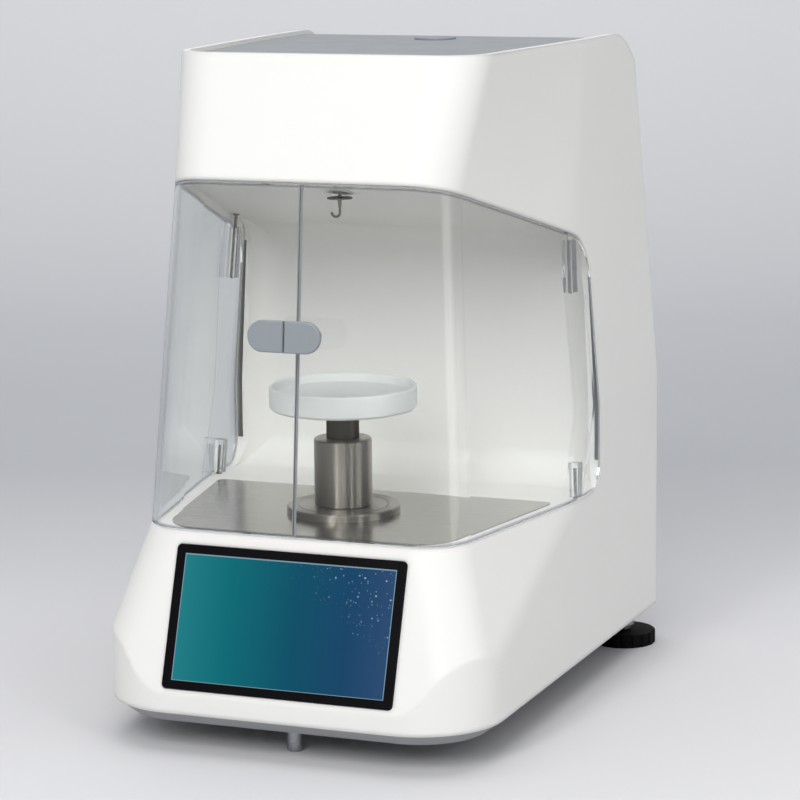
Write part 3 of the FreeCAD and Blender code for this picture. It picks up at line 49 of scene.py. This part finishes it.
class Tree:
    """Small helper that builds a material's node tree from short calls."""

    def __init__(self, name):
        self.material = bpy.data.materials.new(name)
        self.material.use_nodes = True
        self.tree = self.material.node_tree
        self.tree.nodes.clear()
        self.output = self.node("ShaderNodeOutputMaterial")
        self.surface = self.node("ShaderNodeBsdfPrincipled")
        self.join(self.surface.outputs[0], self.output.inputs["Surface"])

    def node(self, kind, inputs=(), **settings):
        """New node, with each input given as a socket to link or as a value."""
        made = self.tree.nodes.new(kind)
        for key, value in settings.items():
            setattr(made, key, value)
        for key, value in dict(inputs).items():
            self.feed(made.inputs[key], value)
        return made

    def feed(self, socket, value):
        if isinstance(value, bpy.types.NodeSocket):
            self.join(value, socket)
        else:
            socket.default_value = value

    def join(self, source, target):
        self.tree.links.new(source, target)

    def put(self, **sockets):
        """Set or link the Principled shader's sockets, named with underscores."""
        for key, value in sockets.items():
            self.feed(self.surface.inputs[key.replace("_", " ")], value)

    def place(self, scale=(1, 1, 1), shift=(0, 0, 0)):
        """Object coordinates in metres, shifted and then scaled."""
        coords = self.node("ShaderNodeTexCoord").outputs["Object"]
        moved = self.node("ShaderNodeVectorMath", {0: coords, 1: shift}, operation="ADD")
        scaled = self.node("ShaderNodeVectorMath", {0: moved.outputs[0], 1: scale},
                           operation="MULTIPLY")
        return scaled.outputs[0]

    def split(self, vector):
        return self.node("ShaderNodeSeparateXYZ", {0: vector}).outputs

    def noise(self, vector, scale=1.0, detail=3.0, roughness=0.5):
        inputs = {"Vector": vector, "Scale": scale, "Detail": detail, "Roughness": roughness}
        return self.node("ShaderNodeTexNoise", inputs).outputs["Fac"]

    def remap(self, value, low, high, from_low=0.3, from_high=0.7):
        """Value brought from one range to another; noise lies mostly between 0.3 and 0.7."""
        inputs = {"Value": value, "From Min": from_low, "From Max": from_high,
                  "To Min": low, "To Max": high}
        return self.node("ShaderNodeMapRange", inputs).outputs["Result"]

    def math(self, operation, a, b=0.0):
        return self.node("ShaderNodeMath", {0: a, 1: b}, operation=operation).outputs[0]

    def blend(self, factor, first, second):
        """Mix of two colours."""
        inputs = {0: factor, 6: first, 7: second}
        return self.node("ShaderNodeMix", inputs, data_type="RGBA").outputs[2]

    def ramp(self, factor, stops):
        """Colour ramp through stops of place and colour, the first at 0 and the last at 1."""
        made = self.node("ShaderNodeValToRGB", {"Fac": factor})
        elements = made.color_ramp.elements
        elements[0].color = rgb(*stops[0][1])
        elements[1].color = rgb(*stops[-1][1])
        for where, colour in stops[1:-1]:
            elements.new(where).color = rgb(*colour)
        return made.outputs["Color"]

    def bump(self, height, distance, strength=1.0, soften=0.0):
        """Bump from a height, over edges softened by a small radius."""
        inputs = {"Height": height, "Distance": distance, "Strength": strength}
        made = self.node("ShaderNodeBump", inputs)
        if soften:
            edge = self.node("ShaderNodeBevel", {"Radius": soften}, samples=4)
            self.join(edge.outputs[0], made.inputs["Normal"])
        return made.outputs[0]

    def see_through(self, factor, tint=(1.0, 1.0, 1.0)):
        """Put a transparent surface in the shader's place where the factor is 1."""
        clear = self.node("ShaderNodeBsdfTransparent", {"Color": rgb(*tint)})
        inputs = {0: factor, 1: self.surface.outputs[0], 2: clear.outputs[0]}
        mix = self.node("ShaderNodeMixShader", inputs)
        self.join(mix.outputs[0], self.output.inputs["Surface"])

    def pass_lamp(self, share):
        """Let lamp light through the surface, less what the material takes."""
        self.see_through(self.node("ShaderNodeLightPath").outputs["Is Shadow Ray"], share)


# ---------------------------------------------------------------- materials

MOTTLE = 9.0                        # patches of tone to the metre, about
WEAR = 40.0                         # patches of gloss to the metre
LINES_DETAIL = dict(detail=4.0, roughness=0.7)
RINGS = 1400.0                      # turning marks to the metre
STREAK = dict(Anisotropic=0.95, Anisotropic_Rotation=0.25)   # upright gleams on turned steel
PLAIN = (1.0, 1.0, 1.0)
ACRYLIC_PASSES = (0.92, 0.935, 0.94)
DISH_PASSES = (0.45, 0.46, 0.455)
EDGE_PAINTED_SHADE = (0.50, 0.52, 0.57)      # painted shade: the dark look through the long edge of an acrylic sheet
# Sawn faces: their own dull grey, darkened with painted shade for the seam and the rear edges.
SAWN_GREY_AND_SHADE = (0.32, 0.325, 0.34)


def moulded(name, colour, rough, grain=900.0, depth=0.00003, soften=0.0005, gloss=0.5):
    """Moulded or painted plastic: faint mottling, fine grain, softened edges."""
    t = Tree(name)
    broad = t.noise(t.place(), MOTTLE, detail=2.0)
    t.put(Base_Color=t.blend(broad, darkened(colour, 0.97), rgb(*colour)))
    fine = t.noise(t.place(), grain, detail=2.0)
    t.put(Roughness=t.remap(t.noise(t.place(), WEAR), rough - 0.04, rough + 0.04))
    t.put(Normal=t.bump(fine, depth, strength=0.6, soften=soften), Specular_IOR_Level=gloss)
    return t


def brushed(name, colour, direction, rough=0.3, lines=0.00002, dim=0.82):
    """Steel with fine machining lines; direction scales the noise in metres, long where small."""
    t = Tree(name)
    streak = t.noise(t.place(direction), **LINES_DETAIL)
    t.put(Base_Color=t.blend(streak, darkened(colour, dim), rgb(*colour)), Metallic=1.0)
    t.put(Roughness=t.remap(streak, rough - 0.07, rough + 0.09))
    t.put(Normal=t.bump(streak, lines, strength=0.7, soften=0.0003))
    return t


def turned_steel(name, colour, rough, rim=PLAIN):
    """Lathe-turned steel: rings round the column's axis on flat faces, hoops on round ones."""
    t = Tree(name)
    centred = t.place((1, 1, 0), (0, -COLUMN_Y, 0))
    radius = t.node("ShaderNodeVectorMath", {0: centred}, operation="LENGTH").outputs["Value"]
    height = t.split(t.place())[2]
    marks = {0: t.math("MULTIPLY", radius, RINGS), 1: t.math("MULTIPLY", height, RINGS)}
    streak = t.noise(t.node("ShaderNodeCombineXYZ", marks).outputs[0], **LINES_DETAIL)
    t.put(Base_Color=t.blend(streak, darkened(colour, 0.96), rgb(*colour)), Metallic=1.0)
    t.put(Roughness=t.remap(streak, rough - 0.015, rough + 0.015), Specular_Tint=rgb(*rim),
          **STREAK)
    t.put(Normal=t.bump(streak, distance=0.000004, strength=0.3, soften=0.0003))
    return t


def clear_sheet(name, colour, rough=0.0, edged=False):
    """Clear acrylic that lets lamp light through to what stands behind it.

    Edged sheet has a strip of painted shade at the sill and the brow, and dull grey sawn faces
    at the seam and the rear, their grey darkened with painted shade.
    """
    t = Tree(name)
    t.put(Base_Color=rgb(*colour), Roughness=rough, IOR=1.49, Transmission_Weight=1.0)
    if edged:
        across, back, up = t.split(t.place())
        sill = t.math("LESS_THAN", up, SILL + SHEET_EDGE)
        under_brow = t.math("ADD", up, t.math("MULTIPLY", back, BROW_SLOPE))
        brow = t.math("GREATER_THAN", under_brow, BROW - SHEET_EDGE)
        # Painted shade: a dark strip at the sill and the brow for the dark line seen through the
        # sheet's edge.
        strip = t.blend(t.math("MAXIMUM", sill, brow), rgb(*colour), rgb(*EDGE_PAINTED_SHADE))
        seam = t.math("LESS_THAN", t.math("ABSOLUTE", across), SAWN_SEAM)
        rear = t.math("GREATER_THAN", back, SAWN_REAR)
        sawn = t.math("MAXIMUM", seam, rear)
        # Sawn faces: matte, with less light through them; their dark grey is partly painted
        # shade.
        t.put(Base_Color=t.blend(sawn, strip, rgb(*SAWN_GREY_AND_SHADE)))
        t.put(Transmission_Weight=t.remap(sawn, 1.0, 0.3, 0.0, 1.0))
        t.put(Roughness=t.remap(sawn, rough, 0.4, 0.0, 1.0))
    t.pass_lamp(ACRYLIC_PASSES)
    return t


def frosted(name, colour):
    """Frosted glass with a little light spread inside it."""
    t = Tree(name)
    fine = t.noise(t.place(), scale=1500.0, detail=2.0)
    t.put(Base_Color=rgb(*colour), Roughness=0.5, IOR=1.45, Transmission_Weight=0.35)
    t.put(Subsurface_Weight=0.5, Subsurface_Radius=(0.02, 0.02, 0.02), Subsurface_Scale=0.3)
    t.put(Normal=t.bump(fine, distance=0.00002, strength=0.5, soften=0.0004))
    t.pass_lamp(DISH_PASSES)
    return t


SCREEN_WASH = ((0.0, (0.012, 0.215, 0.245)), (0.22, (0.0, 0.155, 0.190)),
               (0.55, (0.0, 0.080, 0.140)), (0.8, (0.005, 0.058, 0.145)),
               (1.0, (0.022, 0.070, 0.170)))
SCREEN_POINTS = ((250.0, 0.20, 0.75), (430.0, 0.24, 0.5))    # cells a metre, size, strength
POINT_COLOUR = (0.50, 0.68, 0.76)
POINT_CORE = 0.4                    # part of a point's size that is fully lit
POINT_CHANCE = (0.42, 0.68)         # cells below the first have none, above the second a full one
DRIFT_WAY = (0.9, 0.7)              # the points gather to the upper right, this much each way
DRIFT_SPAN = (1.0, 1.65)
DRIFT_PATCHES = 45.0                # to the metre
SCREEN_RIM = (0.22, 0.34, 0.42)
RIM_FROM = (0.991, 0.984)           # the pale rim starts at this share of half the width, height


def display(name):
    """Lit touch screen: teal to blue wash with a drift of small pale points."""
    t = Tree(name)
    across, _, up = t.split(t.place((1 / SCREEN_HALF_X, 0, 1 / SCREEN_HALF_Z),
                                    (0, 0, -SCREEN_LEVEL)))
    lit = t.ramp(t.remap(across, 0.0, 1.0, -1.0, 1.0), SCREEN_WASH)
    corner = t.math("ADD", *(t.math("MULTIPLY", way, share)
                             for way, share in zip((across, up), DRIFT_WAY)))
    patchy = t.math("ADD", corner, t.noise(t.place(), DRIFT_PATCHES))
    drift = t.remap(patchy, 0.0, 1.0, *DRIFT_SPAN)
    for cells, size, strength in SCREEN_POINTS:
        points = t.node("ShaderNodeTexVoronoi", {"Vector": t.place(), "Scale": cells}).outputs
        dot = t.remap(points["Distance"], strength, 0.0, size * POINT_CORE, size)
        chance = t.remap(points["Color"], 0.0, 1.0, *POINT_CHANCE)
        sparkle = t.math("MULTIPLY", t.math("MULTIPLY", dot, drift), chance)
        lit = t.blend(sparkle, lit, rgb(*POINT_COLOUR))
    beside, above = (t.math("GREATER_THAN", t.math("ABSOLUTE", way), start)
                     for way, start in zip((across, up), RIM_FROM))
    shown = t.blend(t.math("MAXIMUM", beside, above), lit, rgb(*SCREEN_RIM))
    t.put(Base_Color=rgb(0.003, 0.004, 0.004), Roughness=0.25, Emission_Color=shown,
          Emission_Strength=0.93, Specular_IOR_Level=0.08)
    return t


SMOOTH = 0.00001                    # depth of the finest moulded grain, in metres
RECIPES = {
    "white_shell": (moulded, dict(colour=(0.82, 0.815, 0.79), rough=0.46, depth=SMOOTH,
                                  soften=0.005, gloss=0.4)),
    "blue_grey_panel": (moulded, dict(colour=(0.265, 0.283, 0.305), rough=0.5, grain=1400.0,
                                      depth=0.00006)),
    "grey_plug": (moulded, dict(colour=(0.245, 0.262, 0.285), rough=0.45, grain=1400.0,
                                depth=0.00005)),
    "grey_trim": (moulded, dict(colour=(0.30, 0.31, 0.32), rough=0.35)),
    "clear_sheet": (clear_sheet, dict(colour=(0.975, 0.987, 0.99), edged=True)),
    "clear_hinge": (clear_sheet, dict(colour=(0.93, 0.95, 0.96), rough=0.05)),
    "steel_bright": (turned_steel, dict(colour=(0.28, 0.262, 0.23), rough=0.26,
                                        rim=(0.4, 0.38, 0.33))),
    # Same turned steel as steel_bright, far darker: painted shade on the lift shaft.
    "steel_shaft": (turned_steel, dict(colour=(0.06, 0.055, 0.042), rough=0.22,
                                       rim=(0.4, 0.38, 0.33))),
    "steel_brushed": (turned_steel, dict(colour=(0.28, 0.26, 0.228), rough=0.29)),
    "deck_steel": (brushed, dict(colour=(0.43, 0.42, 0.39), direction=(6, 2600, 6), rough=0.22,
                                 lines=0.000008, dim=0.92)),
    # Same white plastic as white_shell, a little darker and warmer: painted shade in the chamber.
    "chamber_shell": (moulded, dict(colour=(0.80, 0.785, 0.75), rough=0.42, depth=SMOOTH,
                                    soften=0.0, gloss=0.4)),
    "frosted_dish": (frosted, dict(colour=(0.79, 0.80, 0.785))),
    "handle_grey": (moulded, dict(colour=(0.27, 0.30, 0.32), rough=0.4, grain=1500.0)),
    "handle_post": (moulded, dict(colour=(0.27, 0.30, 0.32), rough=0.4, grain=1500.0)),
    "bezel_black": (moulded, dict(colour=(0.003, 0.003, 0.004), rough=0.3, depth=SMOOTH,
                                  gloss=0.08)),
    "display": (display, {}),
    "sheet_metal": (brushed, dict(colour=(0.66, 0.67, 0.68), direction=(900, 8, 8), rough=0.38)),
    "board_green": (moulded, dict(colour=(0.02, 0.11, 0.05), rough=0.4)),
    "motor_black": (moulded, dict(colour=(0.02, 0.02, 0.022), rough=0.45)),
    "alloy": (brushed, dict(colour=(0.72, 0.73, 0.75), direction=(700, 20, 20), rough=0.32)),
    "brass_nut": (brushed, dict(colour=(0.72, 0.53, 0.24), direction=(20, 20, 900))),
    "foot_steel": (brushed, dict(colour=(0.40, 0.42, 0.44), direction=(60, 60, 1500))),
    "foot_black": (moulded, dict(colour=(0.003, 0.003, 0.003), rough=0.6, grain=1200.0,
                                 depth=0.00005, gloss=0.08)),
    "socket_black": (moulded, dict(colour=(0.015, 0.015, 0.017), rough=0.45, grain=1200.0)),
    "screw_steel": (brushed, dict(colour=(0.30, 0.30, 0.31), direction=(900, 900, 900),
                                  rough=0.35)),
}
MATERIALS = {name: make(name, **look).material for name, (make, look) in RECIPES.items()}

# Pieces that share a slot of the record with others, and look different from them. The lift
# shaft's steel and the chamber liner's plastic are darker copies of their slots' materials:
# painted shade.
OWN_MATERIAL = {"floor_plate": "deck_steel", "chamber_liner": "chamber_shell",
                "lift_shaft": "steel_shaft"}

slot_of = {entry["node"]: entry["material_slot"] for entry in frame["record"]["subparts"]}
for name in nodes:
    mesh = nodes[name].data
    mesh.materials.clear()
    mesh.materials.append(MATERIALS[OWN_MATERIAL.get(name, slot_of[name])])


# ---------------------------------------------------------------- backdrop

AZIMUTH = math.radians(21.218)      # of the camera, from the front towards the right

# The sweep's cross-section runs along Y, away from the camera: a flat floor between two walls.
FRONT_END, FRONT_RADIUS = -4.2, 1.8
REAR_END, REAR_RADIUS = 1.25, 0.9
WALL_TOP = 3.2
SWEEP_HALF = 9.0                    # half its width
FLOOR_STEPS = (-0.8, 0.0, 0.5)      # rows of vertices on the flat floor

# Tone of the paper by its place along Y, set so that the floor shades as in the photograph:
# painted light and shade in bands, with a dark band in front for the steel to reflect.
PAINTED_SHADE_TONES = ((-5.0, (0.86, 0.86, 0.88)), (-3.0, (0.80, 0.80, 0.82)), (-2.2, (0.56, 0.56, 0.57)),
               (-1.3, (0.44, 0.44, 0.45)), (-0.6, (0.74, 0.74, 0.755)),
               (0.24, (0.64, 0.64, 0.655)), (0.8, (0.49, 0.505, 0.53)),
               (1.5, (0.56, 0.575, 0.60)), (2.2, (0.84, 0.845, 0.86)))


def curve_up(foot, radius, way, steps=16):
    """Quarter circle from the floor at foot to a wall; way is 1 to the rear, -1 to the front."""
    angles = [math.pi / 2 * step / steps for step in range(steps + 1)]
    return [(foot + way * radius * math.sin(angle), radius - radius * math.cos(angle))
            for angle in angles]


def sweep():
    """Pale floor that curves up into a backdrop at both ends, square to the camera's azimuth."""
    line = [(FRONT_END - FRONT_RADIUS, WALL_TOP)]
    line += reversed(curve_up(FRONT_END, FRONT_RADIUS, -1))
    line += [(y, 0.0) for y in FLOOR_STEPS]
    line += curve_up(REAR_END, REAR_RADIUS, 1)
    line.append((REAR_END + REAR_RADIUS, WALL_TOP))
    verts = [(x, y, z) for y, z in line for x in (-SWEEP_HALF, SWEEP_HALF)]
    faces = [(2 * i, 2 * i + 1, 2 * i + 3, 2 * i + 2) for i in range(len(line) - 1)]
    mesh = bpy.data.meshes.new("backdrop")
    mesh.from_pydata(verts, [], faces)
    for polygon in mesh.polygons:
        polygon.use_smooth = True
    made = bpy.data.objects.new("backdrop", mesh)
    made.matrix_world = Matrix.Rotation(AZIMUTH, 4, "Z")
    bpy.context.scene.collection.objects.link(made)
    return made


def paper():
    """Matt paper with painted light and shade in bands along the sweep, seen only from its front
    side.
    """
    t = Tree("backdrop_painted_shade")
    near, far = PAINTED_SHADE_TONES[0][0], PAINTED_SHADE_TONES[-1][0]
    along = t.remap(t.split(t.place())[1], 0.0, 1.0, near, far)
    stops = [((level - near) / (far - near), colour) for level, colour in PAINTED_SHADE_TONES]
    # Painted light and shade in bands along the sweep.
    t.put(Base_Color=t.ramp(along, stops), Roughness=0.7)
    t.see_through(t.node("ShaderNodeNewGeometry").outputs["Backfacing"])
    return t


sweep().data.materials.append(paper().material)


# ---------------------------------------------------------------- light

# Name, place, aim, size and power. The two tall strips draw the gleams on the steel column.
SOFT_BOXES = (
    ("key", (0.35, -2.4, 1.9), (0, 0, 0.2), (2.0, 1.7), 37),
    ("strip_left", (-0.19, -2.2, 1.6), (0, -0.07, 0.2), (0.3, 1.3), 11.5),
    ("strip_right", (1.9, -1.3, 1.6), (0, -0.07, 0.2), (0.3, 1.3), 7.5),
    ("top", (0.0, 0.3, 2.4), (0, 0, 0), (2.4, 2.0), 26),
    ("right_fill", (2.3, -0.2, 0.7), (0, 0, 0.25), (0.9, 1.6), 6),
)

# The world grows brighter from just below the horizon to this height of the unit view vector.
SKY_FADE = {"From Min": -0.06, "From Max": 0.25, "To Min": 0.22, "To Max": 0.34}
SKY_COLOUR = (0.97, 0.975, 1.0)


def soft_box(name, place, aim, size, power):
    lamp = bpy.data.lights.new(name, "AREA")
    lamp.shape = "RECTANGLE"
    lamp.size, lamp.size_y = size
    lamp.energy = power
    made = bpy.data.objects.new(name, lamp)
    way = Vector(aim) - Vector(place)
    made.rotation_euler = way.to_track_quat("-Z", "Y").to_euler()
    made.location = place
    bpy.context.scene.collection.objects.link(made)


def studio_world():
    world = bpy.data.worlds.new("studio")
    world.use_nodes = True
    sky = world.node_tree.nodes["Background"]
    coords = world.node_tree.nodes.new("ShaderNodeTexCoord")
    split = world.node_tree.nodes.new("ShaderNodeSeparateXYZ")
    fade = world.node_tree.nodes.new("ShaderNodeMapRange")
    for socket, value in SKY_FADE.items():
        fade.inputs[socket].default_value = value
    world.node_tree.links.new(coords.outputs["Generated"], split.inputs[0])
    world.node_tree.links.new(split.outputs["Z"], fade.inputs["Value"])
    world.node_tree.links.new(fade.outputs["Result"], sky.inputs["Strength"])
    sky.inputs["Color"].default_value = rgb(*SKY_COLOUR)
    return world


for box in SOFT_BOXES:
    soft_box(*box)
bpy.context.scene.world = studio_world()
bpy.context.scene.view_settings.view_transform = "Standard"


# ---------------------------------------------------------------- camera

# Solved from edges of the housing and the screen in the photograph.
CAMERA_PLACE = Vector((0.771673, -1.95534, 0.595517))
RIGHT = Vector((0.93277, 0.36035, -0.00916))
UP = Vector((-0.05627, 0.17066, 0.98372))
AHEAD = Vector((-0.35604, 0.91707, -0.17946))
LENS_MM, SENSOR_MM = 133.607, 36.0

camera = bpy.data.objects.new("camera", bpy.data.cameras.new("camera"))
camera.data.sensor_width = SENSOR_MM
camera.data.lens = LENS_MM
stand = Matrix((RIGHT, UP, -AHEAD)).transposed().to_4x4()
stand.translation = CAMERA_PLACE
camera.matrix_world = stand
bpy.context.scene.collection.objects.link(camera)
bpy.context.scene.camera = camera
